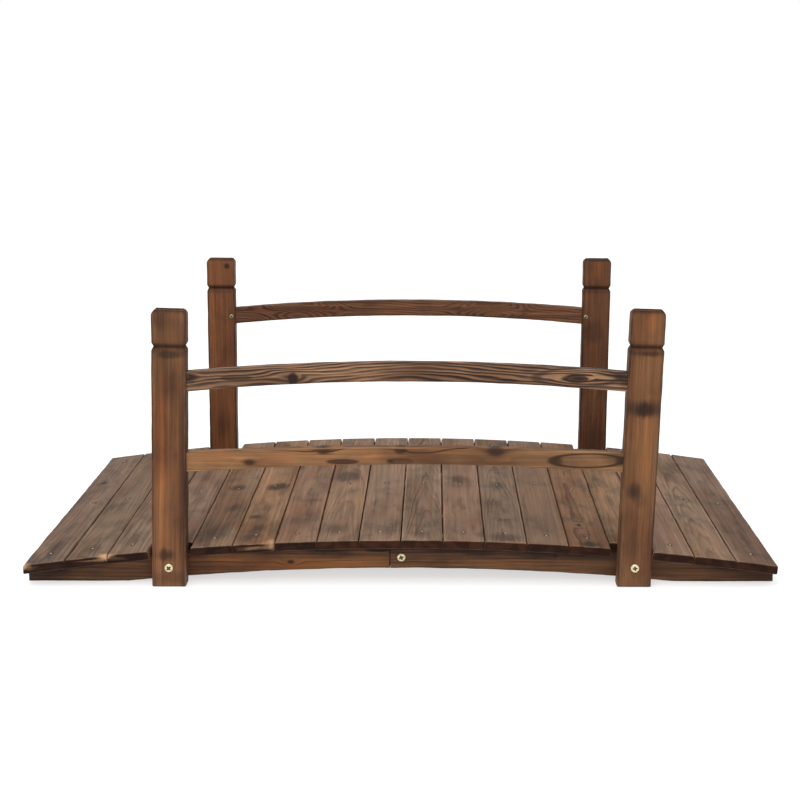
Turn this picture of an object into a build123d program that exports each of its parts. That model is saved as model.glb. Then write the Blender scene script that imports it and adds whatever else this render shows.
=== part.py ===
from build123d import *
from math import asin, cos, degrees, radians, sin, tan
import os

# A small arched garden footbridge of charred fir: a planked deck nailed on three bow-shaped
# stringer lines, with two arched railings held by four bolted posts.
# Millimetres. +X runs along the bridge, +Y across it, +Z up. The origin is on the ground,
# under the middle of the deck.

# Deck
deck_length = 1500.0
deck_width = 670.0
deck_crown_height = 99.0
deck_rise = 53.8
plank_count = 18
plank_thick = 18.0
plank_gap = 2.6
plank_ease = 1.5
post_plank_gap = 0.4

# Stringers
stringer_thick = 28.0
stringer_face_inset = 31.7
stringer_bed = 0.05
arch_span = 1100.0
arch_rise = 28.0
lap_length = 45.0
lap_bolt_height = 51.0
stringer_ease = 1.2

# Posts
post_height = 562.0
post_width = 68.0
post_thick = 28.0
post_spacing = 925.5
post_ease = 2.5
head_chamfer = 5.5
groove_drop = 73.0
groove_height = 15.0
groove_depth = 3.6
post_bolt_height = 40.0
bolt_hole = 7.0
front_lean = 1.6
back_lean = 0.41

# Rails
rail_thick = 18.0
rail_ease = 2.0
upper_rail_crown = 458.0
upper_rail_rise = 19.0
upper_rail_depth = 37.5
lower_rail_crown = 287.5
lower_rail_rise = 12.5
lower_rail_depth = 35.0
tenon_length = 26.0
tenon_thick = 12.0
tenon_shoulder = 3.0
mortise_play = 0.3

# Worked out from the sizes above
deck_radius = (deck_length**2 / 4 + deck_rise**2) / (2 * deck_rise)
deck_centre_height = deck_crown_height - deck_radius
plank_angle = 2 * asin(deck_length / 2 / deck_radius) / plank_count
plank_width = deck_radius * plank_angle - plank_gap
stringer_length = deck_length
seat_radius = deck_radius - plank_thick - stringer_bed
outer_face = deck_width / 2 - stringer_face_inset
short_plank_length = 2 * (outer_face - post_plank_gap)
outer_line = outer_face - stringer_thick / 2
rail_line = outer_face + post_thick / 2
foot_allowance = post_width

os.makedirs("parts", exist_ok=True)


def save(piece, name):
    """Label one finished piece and write it to its own file."""
    piece.part.label = name
    export_step(piece.part, f"parts/{name}.step")


# Deck planks, laid flat along tangents of the deck's arc


def stands_under_post(angle):
    """Tell whether a plank's strip of the deck passes a post."""
    middle = deck_radius * sin(angle)
    return abs(abs(middle) - post_spacing / 2) < plank_width / 2


def make_plank(angle, length):
    """One cross plank with its long top edges and its ends eased."""
    plank_top = Plane(
        origin=(deck_radius * sin(angle), 0, deck_centre_height + deck_radius * cos(angle)),
        x_dir=(cos(angle), 0, -sin(angle)),
        z_dir=(sin(angle), 0, cos(angle)),
    )
    with BuildPart() as plank:
        with BuildSketch(plank_top):
            Rectangle(plank_width, length)
        extrude(amount=-plank_thick)
        top_face = plank.faces().sort_by(Axis(plank_top.origin, plank_top.z_dir))[-1]
        chamfer(top_face.edges(), length=plank_ease)
    return plank


for index in range(plank_count):
    plank_place = (index + 0.5 - plank_count / 2) * plank_angle
    plank_length = short_plank_length if stands_under_post(plank_place) else deck_width
    save(make_plank(plank_place, plank_length), f"deck_plank_{index + 1:02d}")


# Stringers: bow-shaped boards in two halves, half-lapped and bolted at mid-span


def seat_height(x):
    """Height of the stringer's top edge, where the planks lie, at a place along the bridge."""
    return deck_centre_height + (seat_radius**2 - x**2) ** 0.5


def make_stringer_half(line, side):
    """One half: a board sawn to the deck's arc above and a flat pad and an arch below."""
    end = side * stringer_length / 2
    tongue_end = -side * lap_length / 2
    arch_end = side * arch_span / 2
    arch_radius = (arch_span**2 / 4 + arch_rise**2) / (2 * arch_rise)
    arch_centre = arch_rise - arch_radius
    arch_middle = arch_end / 2
    tongue_soffit = arch_centre + (arch_radius**2 - tongue_end**2) ** 0.5
    middle_soffit = arch_centre + (arch_radius**2 - arch_middle**2) ** 0.5
    with BuildPart() as half:
        with BuildSketch(Plane.XZ.offset(-line)):
            with BuildLine():
                ThreePointArc(
                    (tongue_end, seat_height(tongue_end)),
                    (arch_middle, seat_height(arch_middle)),
                    (end, seat_height(end)),
                )
                Line((end, seat_height(end)), (end, 0))
                Line((end, 0), (arch_end, 0))
                ThreePointArc(
                    (arch_end, 0),
                    (arch_middle, middle_soffit),
                    (tongue_end, tongue_soffit),
                )
                Line((tongue_end, tongue_soffit), (tongue_end, seat_height(tongue_end)))
            make_face()
        extrude(amount=stringer_thick / 2, both=True)
        end_corners = half.edges().filter_by(Axis.Y).group_by(Axis.X)[0 if side < 0 else -1]
        chamfer(end_corners.sort_by(Axis.Z)[0], length=stringer_ease)
        with BuildSketch(Plane.XZ.offset(-line)):
            with Locations((0, deck_crown_height / 2)):
                Rectangle(lap_length, 2 * deck_crown_height)
        extrude(amount=-side * stringer_thick, mode=Mode.SUBTRACT)
        bolt_places = [(0, lap_bolt_height)]
        if line != 0:
            bolt_places.append((side * post_spacing / 2, post_bolt_height))
        with BuildSketch(Plane.XZ.offset(-line)):
            with Locations(*bolt_places):
                Circle(bolt_hole / 2)
        extrude(amount=stringer_thick, both=True, mode=Mode.SUBTRACT)
    return half


stringer_lines = {"front": -outer_line, "middle": 0.0, "back": outer_line}
for line_name, line_place in stringer_lines.items():
    save(make_stringer_half(line_place, -1), f"{line_name}_stringer_left")
    save(make_stringer_half(line_place, 1), f"{line_name}_stringer_right")


# Railings: each pair of posts leans a little along the bridge about its foot bolts


def lean_shift(lean, height):
    """How far a railing has moved along the bridge at a height, from its lean."""
    return tan(radians(lean)) * (height - post_bolt_height)


def inner_edge(side, lean, height):
    """Where the edge of a post that faces its partner stands, at a height."""
    half_width = post_width / 2 / cos(radians(lean))
    return side * (post_spacing / 2 - half_width) + lean_shift(lean, height)


def rail_end_heights(crown, rise, depth):
    """Top and bottom of a rail where it meets the posts."""
    return crown - rise, crown - rise - depth


def draw_tenon(side, lean, crown, rise, depth, play):
    """Outline of a tenon, or with play of its mortise, from the post's edge inwards."""
    top, bottom = rail_end_heights(crown, rise, depth)
    high = top - tenon_shoulder + play
    low = bottom + tenon_shoulder - play
    high_edge = inner_edge(side, lean, high)
    low_edge = inner_edge(side, lean, low)
    deep = side * tenon_length
    Polygon(
        (low_edge, low),
        (low_edge + deep, low),
        (high_edge + deep, high),
        (high_edge, high),
        align=None,
    )


rails = {
    "upper": (upper_rail_crown, upper_rail_rise, upper_rail_depth),
    "lower": (lower_rail_crown, lower_rail_rise, lower_rail_depth),
}


def make_post(side, lean, line):
    """One post with a grooved and chamfered head, an eased shaft and two mortises."""
    lean_angle = radians(lean)
    post_face = Plane(
        origin=(side * post_spacing / 2, line, post_bolt_height),
        x_dir=(cos(lean_angle), 0, -sin(lean_angle)),
        z_dir=(0, -1, 0),
    )
    post_side = Plane(origin=post_face.origin, x_dir=(0, 1, 0), z_dir=post_face.x_dir)
    top = (post_height - post_bolt_height) / cos(lean_angle)
    groove = top - groove_drop
    with BuildPart() as post:
        with BuildSketch(post_face):
            with Locations((0, (top - foot_allowance) / 2)):
                Rectangle(post_width, top + foot_allowance)
        extrude(amount=post_thick / 2, both=True)
        up = Axis(post_face.origin, post_face.y_dir)
        chamfer(post.faces().sort_by(up)[-1].edges(), length=head_chamfer)
        hips = post.edges().group_by(up)[-2]
        chamfer(post.edges().filter_by(up) + hips, length=post_ease)
        with BuildSketch(post_face):
            for edge in (-post_width / 2, post_width / 2):
                Polygon(
                    (edge, groove - groove_height / 2),
                    (edge, groove + groove_height / 2),
                    (edge - groove_depth if edge > 0 else edge + groove_depth, groove),
                    align=None,
                )
        extrude(amount=post_thick, both=True, mode=Mode.SUBTRACT)
        with BuildSketch(post_side):
            for face in (-post_thick / 2, post_thick / 2):
                Polygon(
                    (face, groove - groove_height / 2),
                    (face, groove + groove_height / 2),
                    (face - groove_depth if face > 0 else face + groove_depth, groove),
                    align=None,
                )
        extrude(amount=post_width, both=True, mode=Mode.SUBTRACT)
        with BuildSketch(Plane.XZ.offset(-line)):
            for crown, rise, depth in rails.values():
                draw_tenon(side, lean, crown, rise, depth, mortise_play)
        extrude(amount=tenon_thick / 2 + mortise_play, both=True, mode=Mode.SUBTRACT)
        with BuildSketch(post_face):
            Circle(bolt_hole / 2)
        extrude(amount=post_thick, both=True, mode=Mode.SUBTRACT)
        split(bisect_by=Plane.XY, keep=Keep.TOP)
    return post


def make_rail(lean, line, crown, rise, depth):
    """One arched rail with a shouldered tenon at each end."""
    top, bottom = rail_end_heights(crown, rise, depth)
    corners = {
        (side, height): (inner_edge(side, lean, height), height)
        for side in (-1, 1)
        for height in (top, bottom)
    }
    with BuildPart() as rail:
        with BuildSketch(Plane.XZ.offset(-line)):
            with BuildLine():
                ThreePointArc(corners[-1, top], (lean_shift(lean, top), crown), corners[1, top])
                Line(corners[1, top], corners[1, bottom])
                ThreePointArc(
                    corners[1, bottom],
                    (lean_shift(lean, bottom), crown - depth),
                    corners[-1, bottom],
                )
                Line(corners[-1, bottom], corners[-1, top])
            make_face()
        extrude(amount=rail_thick / 2, both=True)
        chamfer(rail.edges().filter_by(GeomType.CIRCLE), length=rail_ease)
        with BuildSketch(Plane.XZ.offset(-line)):
            for side in (-1, 1):
                draw_tenon(side, lean, crown, rise, depth, 0)
        extrude(amount=tenon_thick / 2, both=True)
    return rail


railings = {"front": (front_lean, -rail_line), "back": (back_lean, rail_line)}
for railing_name, (lean, line) in railings.items():
    save(make_post(-1, lean, line), f"{railing_name}_left_post")
    save(make_post(1, lean, line), f"{railing_name}_right_post")
    for rail_name, (crown, rise, depth) in rails.items():
        rail = make_rail(lean, line, crown, rise, depth)
        save(rail, f"{railing_name}_{rail_name}_rail")

print("deck radius", round(deck_radius, 1), "plank width", round(plank_width, 2))
print("plank turn in degrees", round(degrees(plank_angle), 3))
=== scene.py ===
import bpy
from math import asin, cos, pi, radians, sin, sqrt, tan
from mathutils import Matrix, Vector, noise


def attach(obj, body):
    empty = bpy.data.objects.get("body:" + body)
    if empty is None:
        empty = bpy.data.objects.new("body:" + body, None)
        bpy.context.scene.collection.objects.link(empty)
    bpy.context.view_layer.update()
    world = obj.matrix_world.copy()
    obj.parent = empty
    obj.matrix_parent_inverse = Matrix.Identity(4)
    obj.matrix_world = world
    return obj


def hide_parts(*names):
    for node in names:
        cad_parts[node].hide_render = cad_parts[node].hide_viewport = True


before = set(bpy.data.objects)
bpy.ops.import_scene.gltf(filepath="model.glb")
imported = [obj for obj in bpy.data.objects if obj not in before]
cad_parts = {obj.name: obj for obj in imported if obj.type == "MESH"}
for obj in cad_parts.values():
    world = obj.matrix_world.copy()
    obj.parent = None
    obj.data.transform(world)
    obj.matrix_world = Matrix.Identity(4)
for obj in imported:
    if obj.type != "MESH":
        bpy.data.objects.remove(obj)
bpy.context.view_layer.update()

# Stringers: three lines of bow-sawn fir, 28 mm thick, each of two halves half-lapped at mid-span.
# They are sawn from straight boards, so the grain runs level through the bow, and then charred
# and brushed like the rest. They carry the deck and the posts.

LENGTH = 1.5
DECK_CROWN = 0.099
DECK_RISE = 0.0538
DECK_RADIUS = (LENGTH**2 / 4 + DECK_RISE**2) / (2 * DECK_RISE)
DECK_CENTRE = DECK_CROWN - DECK_RADIUS
PLANK_THICK = 0.018
PLANK_BED = 0.00005
SEAT_RADIUS = DECK_RADIUS - PLANK_THICK - PLANK_BED
STRINGER_THICK = 0.028
STRINGER_EASE = 0.0012
OUTER_LINE = 0.2893
ARCH_HALF = 0.55
ARCH_RISE = 0.028
ARCH_RADIUS = (ARCH_HALF**2 + ARCH_RISE**2) / (2 * ARCH_RISE)
LAP_HALF = 0.0225
LAP_GAP = 0.0006
CORNER_STEPS = 4


def paint(red, green, blue):
    """A colour read off as 0 to 255, as the light value that the material needs."""
    parts = [value / 255 for value in (red, green, blue)]
    light = [p / 12.92 if p <= 0.04045 else ((p + 0.055) / 1.055) ** 2.4 for p in parts]
    return (*light, 1.0)


def make_piece(name, points, faces, layers, sharp):
    """A mesh object with named layers of values, smooth except over edges above an angle."""
    mesh = bpy.data.meshes.new(name)
    mesh.from_pydata([tuple(point) for point in points], [], faces)
    for label, values in layers.items():
        if isinstance(values[0], tuple):
            layer = mesh.attributes.new(label, "FLOAT_VECTOR", "POINT")
            layer.data.foreach_set("vector", [number for value in values for number in value])
        else:
            layer = mesh.attributes.new(label, "FLOAT", "POINT")
            layer.data.foreach_set("value", values)
    mesh.shade_smooth()
    mesh.set_sharp_from_angle(angle=radians(sharp))
    piece = bpy.data.objects.new(name, mesh)
    bpy.context.scene.collection.objects.link(piece)
    return piece


def cross_section(low_a, high_a, low_b, high_b, ease, strip, across=6, through=2):
    """Points round one cut through a board, each with a mark of 1 on the eased corners."""
    corners = [(high_a, high_b, 0), (low_a, high_b, 90), (low_a, low_b, 180), (high_a, low_b, 270)]
    points = []
    for index, (a, b, turn) in enumerate(corners):
        centre_a = a - ease if a == high_a else a + ease
        centre_b = b - ease if b == high_b else b + ease
        for step in range(CORNER_STEPS + 1):
            angle = radians(turn + 90 * step / CORNER_STEPS)
            points.append((centre_a + ease * cos(angle), centre_b + ease * sin(angle), 1.0))
        next_a, next_b, _ = corners[(index + 1) % 4]
        along_a = index % 2 == 0
        way = -1 if index < 2 else 1
        start, stop = (centre_a, next_a) if along_a else (centre_b, next_b)
        start, stop = start + way * strip, stop - way * (ease + strip)
        count = across if along_a else through
        for step in range(count):
            place = start + (stop - start) * step / (count - 1)
            points.append((place, b, 0.0) if along_a else (a, place, 0.0))
    return points


def closed_end(cut, way):
    """The smaller cuts that close a board's end, from the end inwards, each with its soot."""
    s, low_a, high_a, low_b, high_b, ease = cut[:6]
    rings = []
    for inset, along, soot_and_shade in ((ease + 0.003, 0, 1.0), (ease, 0, 1.0), (0.35 * ease, 0.35 * ease, 0.6)):
        rings.append((s + way * along, low_a + inset, high_a - inset, low_b + inset, high_b - inset,
                      ease * 0.6, soot_and_shade))
    return rings + [(s + way * ease, *cut[1:6], 0.0)]


def enclosed_volume(points, faces):
    """Six times the volume inside some faces, below zero if they face inwards."""
    return sum(
        Vector(points[face[0]]).dot(Vector(points[face[1]]).cross(Vector(points[face[2]])))
        + Vector(points[face[0]]).dot(Vector(points[face[2]]).cross(Vector(points[face[-1]])))
        for face in faces
    )


def build_board(name, cuts, place, seed, grain=None, wear=0.0003, chips=0.0032, rough_end=0.0004,
                tears=()):
    """A board swept through cuts along its length, with eased, slightly worn edges.

    Each cut is (s, low_a, high_a, low_b, high_b, ease): a place along the board, where its edges
    and faces are there, and how round its corners are. A seventh value is how sooty it is, and at a
    post's groove also how much painted shade it has.
    wear, chips and rough_end are how deep the worn edges, their chips and the sawn ends' unevenness
    go. Each tear is (s, a, b, size, depth). place turns (s, a, b) into a point of the bridge, and
    grain into the place in the tree that the material reads.
    """
    rings = closed_end(cuts[0], 1)
    rings += [cut if len(cut) == 7 else (*cut, 0.0) for cut in cuts[1:-1]]
    rings += closed_end(cuts[-1], -1)[::-1]
    points, grains, finishes = [], [], []
    middle_s = (cuts[0][0] + cuts[-1][0]) / 2
    for s, low_a, high_a, low_b, high_b, ease, end in rings:
        strip = min(0.003, (high_b - low_b) / 2 - ease - 0.001)
        mid_a, mid_b = (low_a + high_a) / 2, (low_b + high_b) / 2
        wide, thick = (high_a - low_a) / 2, (high_b - low_b) / 2
        for a, b, edge in cross_section(low_a, high_a, low_b, high_b, ease, strip):
            spot = Vector((s * 22 + seed * 7.3, a * 45, b * 60 + seed))
            flaw = noise.noise(spot) + 0.5 * noise.noise(spot * 3.1)
            pull = wear * (0.5 + flaw) * (2.2 if edge else 0.5)
            if edge:
                pull += chips * max(0.0, noise.noise(spot * 1.7 + Vector((9, 3, 5))) - 0.52)
            near_a = max(0.0, abs(a - mid_a) / wide - 0.9) * 10
            near_b = max(0.0, abs(b - mid_b) / thick - 0.8) * 5
            new_a = a - pull * near_a * (1 if a > mid_a else -1)
            new_b = b - pull * near_b * (1 if b > mid_b else -1)
            new_s = s
            if end:
                new_s += rough_end * noise.noise(Vector((a * 90, b * 90, seed * 3 + s * 5))) * end
            raw = 0.0
            for tear_s, tear_a, tear_b, size, depth in tears:
                far = Vector(((s - tear_s) * 0.8, a - tear_a, (b - tear_b) * 1.3)).length / size
                if far < 1:
                    jag = 1 + 0.6 * noise.noise(Vector((s * 300, a * 300, b * 500)))
                    bite = depth * (1 - far) * jag
                    new_s += bite * (1 if s < middle_s else -1)
                    new_b -= 0.6 * bite * (1 if b > mid_b else -1)
                    raw = max(raw, min(1.0, 1.6 * (1 - far)))
            points.append(place(new_s, new_a, new_b))
            grains.append((new_s, new_a, new_b) if grain is None else grain(new_s, new_a, new_b))
            finishes.append((end, edge, raw))
    size = len(points) // len(rings)
    faces = [tuple(reversed(range(size)))]
    for low in range(0, size * (len(rings) - 1), size):
        for step in range(size):
            after = (step + 1) % size
            faces.append((low + step, low + after, low + size + after, low + size + step))
    faces.append(tuple(size * (len(rings) - 1) + step for step in range(size)))
    board = make_piece(name, points, faces, {"grain": grains, "finish": finishes}, 24)
    if enclosed_volume(points, faces) < 0:
        board.data.flip_normals()
    return board


class Reading:
    """A value that a material works out at each point. Arithmetic on it adds nodes."""

    def __init__(self, tree, socket):
        self.tree = tree
        self.socket = socket

    def feed(self, socket):
        self.tree.links.new(self.socket, socket)

    def step(self, operation, *others, clamp=False):
        """The next node of arithmetic. Numbers are typed in and other readings are linked."""
        node = self.tree.nodes.new("ShaderNodeMath")
        node.operation = operation
        node.use_clamp = clamp
        for socket, value in zip(node.inputs, (self, *others)):
            fill(socket, value)
        return Reading(self.tree, node.outputs[0])

    def __add__(self, other):
        return self.step("ADD", other)

    def __sub__(self, other):
        return self.step("SUBTRACT", other)

    def __mul__(self, other):
        return self.step("MULTIPLY", other)

    def __truediv__(self, other):
        return self.step("DIVIDE", other)

    def ramp(self, low, high, at_low=0.0, at_high=1.0):
        """A smooth change from one value to another as this one goes from low to high."""
        node = self.tree.nodes.new("ShaderNodeMapRange")
        node.interpolation_type = "SMOOTHSTEP"
        self.feed(node.inputs["Value"])
        limits = {"From Min": low, "From Max": high, "To Min": at_low, "To Max": at_high}
        for label, value in limits.items():
            node.inputs[label].default_value = value
        return Reading(self.tree, node.outputs["Result"])


def fill(socket, value):
    """Link a reading to a socket, or type a number or a colour into it."""
    if isinstance(value, Reading):
        value.feed(socket)
    else:
        socket.default_value = value


def hypotenuse(one, other):
    return (one * one + other * other).step("SQRT")


class Finish:
    """A material under way, with short names for the nodes that it is made of."""

    def __init__(self, name):
        self.material = bpy.data.materials.new(name)
        self.material.use_nodes = True
        self.tree = self.material.node_tree
        self.shader = self.tree.nodes["Principled BSDF"]

    def node(self, kind):
        return self.tree.nodes.new(f"ShaderNode{kind}")

    def layer(self, label, output="Vector"):
        """A layer of values on the mesh."""
        node = self.node("Attribute")
        node.attribute_name = label
        return Reading(self.tree, node.outputs[output])

    def parts(self, vector):
        """The three numbers of a vector."""
        node = self.node("SeparateXYZ")
        vector.feed(node.inputs[0])
        return [Reading(self.tree, output) for output in node.outputs]

    def mottle(self, vector, stretch, seed, detail=2.0, roughness=0.5):
        """A soft random value over the piece, about 0.5, stretched along or across its grain."""
        placed = self.node("Mapping")
        placed.inputs["Scale"].default_value = stretch
        placed.inputs["Location"].default_value = (seed * 1.37, seed * 2.11 + 4.0, seed * 0.73 + 9.0)
        vector.feed(placed.inputs["Vector"])
        cloud = self.node("TexNoise")
        cloud.inputs["Scale"].default_value = 1.0
        cloud.inputs["Detail"].default_value = detail
        cloud.inputs["Roughness"].default_value = roughness
        self.tree.links.new(placed.outputs["Vector"], cloud.inputs["Vector"])
        return Reading(self.tree, cloud.outputs[0])

    def chance(self, number):
        """A random value of its own for each whole number."""
        node = self.node("TexWhiteNoise")
        node.noise_dimensions = "1D"
        number.feed(node.inputs["W"])
        return Reading(self.tree, node.outputs["Value"])

    def course(self, s, points, reach=0.5, depth=0.04):
        """The height of a line through (s, a) points, within reach along and depth across."""
        node = self.node("FloatCurve")
        curve = node.mapping.curves[0]
        spots = [((at_s + reach) / (2 * reach), (at_a + depth) / (2 * depth)) for at_s, at_a in points]
        curve.points[0].location = spots[0]
        curve.points[1].location = spots[-1]
        for spot in spots[1:-1]:
            curve.points.new(*spot)
        node.mapping.update()
        (s + reach).feed(node.inputs["Value"])
        return Reading(self.tree, node.outputs[0]) * (2 * depth) - depth

    def tint(self, under, over, amount=1.0, mode="MIX"):
        """Lay one colour over another by an amount."""
        node = self.node("Mix")
        node.data_type = "RGBA"
        node.blend_type = mode
        for socket, value in ((node.inputs[0], amount), (node.inputs[6], under), (node.inputs[7], over)):
            fill(socket, value)
        return Reading(self.tree, node.outputs[2])

    def emboss(self, height, strength, distance):
        """Fine relief, too small for the mesh."""
        node = self.node("Bump")
        node.inputs["Strength"].default_value = strength
        node.inputs["Distance"].default_value = distance
        height.feed(node.inputs["Height"])
        self.tree.links.new(node.outputs["Normal"], self.shader.inputs["Normal"])


def scaled(colour, red, green, blue):
    """A colour with each of its parts made stronger or weaker."""
    return (colour[0] * red, colour[1] * green, colour[2] * blue, 1.0)


def ring_field(s, a, b, slow, quick, pith, rise, sway, crest, knots):
    """How far out in the tree each point lies, the rings bent round the knots, and the knots' hearts."""
    across = a - pith[0] + (slow - 0.5) * (2.6 * sway)
    field = hypotenuse(across, b - pith[1]) + s * rise + (quick - 0.5) * (0.55 * sway)
    if crest:
        off = s - crest[0]
        field = field + ((off * off + 0.0009).step("SQRT") - 0.03) * crest[1]
    heart = None
    for knot_s, knot_a, size, *more in knots:
        swelling, stretch, hearted = more or (1.9, 0.62, True)
        aside = a - knot_a
        out = hypotenuse((s - knot_s) * stretch, aside) + (quick - 0.5) * size
        if swelling < 0:
            field = field + out.ramp(0.8 * size, 4.2 * size, swelling, 0.0) * aside
            swelling = 1.3
        field = field + out.ramp(0.0, (4.2 if hearted else 2) * size, swelling * size, 0.0)
        if hearted:
            core = out.ramp(0.45 * size, 1.35 * size, 1.0, 0.0)
            heart = core if heart is None else heart.step("MAXIMUM", core)
    return field, heart


def late_wood(wood, grain, field, ring, even, seed):
    """The dark late wood of each ring, stronger in some years and places than in others."""
    uneven = wood.mottle(grain, (1.1, 34.0, 34.0), seed + 9, 1.0)
    patch = wood.mottle(grain, (5.0, 18.0, 18.0), seed + 8)
    count = uneven * (2.4 + 2 * even) + field / ring
    turn = count.step("FRACT")
    late = turn.ramp(0.38 - 0.2 * even, 0.9 - 0.3 * even) * turn.ramp(0.92, 1.0, 1.0, 0.0)
    year = wood.chance(count.step("FLOOR") + seed * 5.0)
    line = late * (year * (0.8 * (1 - even)) + (0.2 + 0.8 * even))
    return line * patch.ramp(0.3, 0.62, 0.3 + 0.5 * even, 1.0)


def draw_vein(wood, colour, char, s, a, b, quick, points, strength, width):
    """One dark line over the side where b is lowest, with the wood above it shaded."""
    above = (quick - 0.5) * 0.004 + a - wood.course(s, points)
    vein = above.ramp(-0.5 * width, 0.0) * above.ramp(0.1 * width, 1.6 * width, 1.0, 0.0)
    vein = vein * b.ramp(-0.0085, -0.003, 1.0, 0.0)
    shade = above.ramp(-9 * width, 0.0, 0.0, 0.35 * strength)
    colour = wood.tint(colour, char, vein * strength)
    return wood.tint(colour, (0.7, 0.55, 0.45, 1.0), shade, "MULTIPLY")


def charred_fir(name, light, dark, ring=0.0042, pith=(0.0, -0.05), rise=0.02, sway=0.012, crest=None,
                figure=0.75, even=0.0, scorch=0.4, streak=0.25, brush=1.3, cloud=0.6, knots=(),
                stains_and_shade=(), lenses=(), ovals=(), glows=(), veins=(), char=(0.3, 0.32, 0.38),
                end_dark=0.95, end_tone=1.0, sooty_edge=0.5, rubbed=0.0, flank=None, gloss=0.66,
                seed=0.0):
    """Charred and brushed fir. light and dark are the early and the late wood of each ring.

    The rings: ring is how far apart they lie, pith where the tree's middle lies from the board's
    middle, rise how fast they climb along the board, sway how far they wander, crest a place and a
    slope where they peak, even how alike they are and figure how strongly they show.
    The surface: scorch, streak, brush and cloud are how strongly burnt spots, bare streaks, brushed
    fibres and smoky patches show, and char is how dark a burnt mark is beside the late wood.
    The marks: a knot is (s, a, size) and may go on with swelling, stretch and whether its heart
    shows. With a swelling below 0 the rings part round it like an eye. stains and glows, which are
    soft, lenses, which are crisp, and ovals, which are outlines, are (s, a, half length, half width,
    strength). The stains are dark marks, and on the stringers one is also painted shade under the
    deck. veins are (points, strength, width), dark lines on the side where b is lowest.
    The edges: end_dark is how sooty the ends are, end_tone how light their soot, sooty_edge how
    sooty the corners and rubbed how bare the ends' upper edges. flank is (half width, tone): the
    sides beyond that half width are warmer. All lengths are in metres on the board.
    """
    wood = Finish(name)
    grain = wood.layer("grain")
    s, a, b = wood.parts(grain)
    end, edge, raw = wood.parts(wood.layer("finish"))
    slow = wood.mottle(grain, (2.2, 6.0, 6.0), seed, 1.0)
    quick = wood.mottle(grain, (11.0, 34.0, 34.0), seed + 3)
    fibre = wood.mottle(grain, (9.0, 800.0, 800.0), seed + 1, 2.0, 0.6)
    strand = wood.mottle(grain, (3.0, 150.0, 150.0), seed + 2, 3.0, 0.6)
    burn = wood.mottle(grain, (6.0, 20.0, 20.0), seed + 5, 5.0, 0.62)
    wash = wood.mottle(grain, (3.2, 9.0, 9.0), seed + 6, 3.0, 0.55)
    smoke = wood.mottle(grain, (13.0, 17.0, 17.0), seed + 7, 3.0, 0.6)
    field, heart = ring_field(s, a, b, slow, quick, pith, rise, sway, crest, knots)
    line = late_wood(wood, grain, field, ring, even, seed)

    char = scaled(dark, *char)
    pale = (*(min(1.0, part * 1.7 + 0.012) for part in light[:3]), 1.0)
    warm = scaled(light, 1.55, 1.38, 1.05)
    ember = scaled(dark, end_tone, end_tone, end_tone)
    black = scaled(ember, 0.28, 0.15, 0.07)
    umber = scaled(ember, 0.62, 0.43, 0.26)

    def outline(mark_s, mark_a, long, wide, ragged):
        """How far out of an oval mark a point is, 1 on its ragged outline."""
        out = hypotenuse((s - mark_s) / long, (a - mark_a) / wide)
        return out + (burn - 0.5) * ragged + (strand - 0.5) * (0.3 * ragged)

    # The wood, its fibres and its smoky patches
    colour = light
    for *mark, strength in glows:
        colour = wood.tint(colour, warm, outline(*mark, 1.2).ramp(0.3, 1.1, strength, 0.0))
    colour = wood.tint(colour, dark, line * figure)
    colour = wood.tint(colour, pale, strand.ramp(0.5, 0.72) * streak)
    colour = wood.tint(colour, fibre * 0.9 + 0.55, mode="MULTIPLY")
    colour = wood.tint(colour, strand * brush + (1 - brush / 2), mode="MULTIPLY")
    for reading, over in (
        (wash.ramp(0.42, 0.66, 0.0, 0.8), (0.62, 0.5, 0.43, 1.0)),
        (smoke.ramp(0.5, 0.66, 0.0, cloud), (0.7, 0.72, 0.74, 1.0)),
        (smoke.ramp(0.34, 0.5, 0.6 * cloud, 0.0), (1.2, 1.04, 1.0, 1.0)),
    ):
        colour = wood.tint(colour, over, reading, "MULTIPLY")

    # The burnt marks
    colour = wood.tint(colour, char, burn.ramp(0.54, 0.72) * scorch)
    for *mark, strength in stains_and_shade:
        colour = wood.tint(colour, char, outline(*mark, 1.7).ramp(0.3, 1.1, strength, 0.0))
    for *mark, strength in lenses:
        colour = wood.tint(colour, char, outline(*mark, 0.5).ramp(0.75, 1.05, strength, 0.0))
    for *mark, strength in ovals:
        rim = (outline(*mark, 0.25) - 0.95).step("ABSOLUTE")
        colour = wood.tint(colour, char, rim.ramp(0.04, 0.2, strength, 0.0))
    for vein in veins:
        colour = draw_vein(wood, colour, char, s, a, b, quick, *vein)
    if heart:
        colour = wood.tint(colour, char, heart * 0.85)

    # The worn and sooty edges, the sooty ends, the sides and the torn corners
    colour = wood.tint(colour, pale, edge * strand.ramp(0.45, 0.65, 0.0, 0.55))
    colour = wood.tint(colour, char, edge * burn.ramp(0.4, 0.6, 0.3 * sooty_edge, sooty_edge))
    # The soot darkens the ends, and at the posts' grooves it is char and painted shade.
    soot_and_shade = end.step("MULTIPLY", burn * 0.5 + (end_dark - 0.2), clamp=True)
    colour = wood.tint(colour, wood.tint(black, umber, quick.ramp(0.42, 0.6, 0.0, 0.7)), soot_and_shade)
    if rubbed:
        arris = end.ramp(0.03, 0.2) * end.ramp(0.3, 0.55, 1.0, 0.0) * b.ramp(-0.005, -0.002)
        colour = wood.tint(colour, pale, arris * quick.ramp(0.4, 0.6, 0.1 * rubbed, rubbed))
    if flank:
        half_width, tone = flank
        side = a.step("ABSOLUTE") + b.ramp(-0.003, -0.0016, 0.0022, 0.0)
        wall = wood.tint(colour, (tone, 0.76 * tone, 0.6 * tone, 1.0), mode="MULTIPLY")
        wall = wood.tint(wall, black, end.ramp(0.0, 0.3))
        colour = wood.tint(colour, wall, side.ramp(half_width - 0.0005, half_width + 0.0002, 0.0, 0.8))
    colour = wood.tint(colour, paint(186, 146, 110), raw * quick.ramp(0.35, 0.6, 0.35, 1.0))

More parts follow.
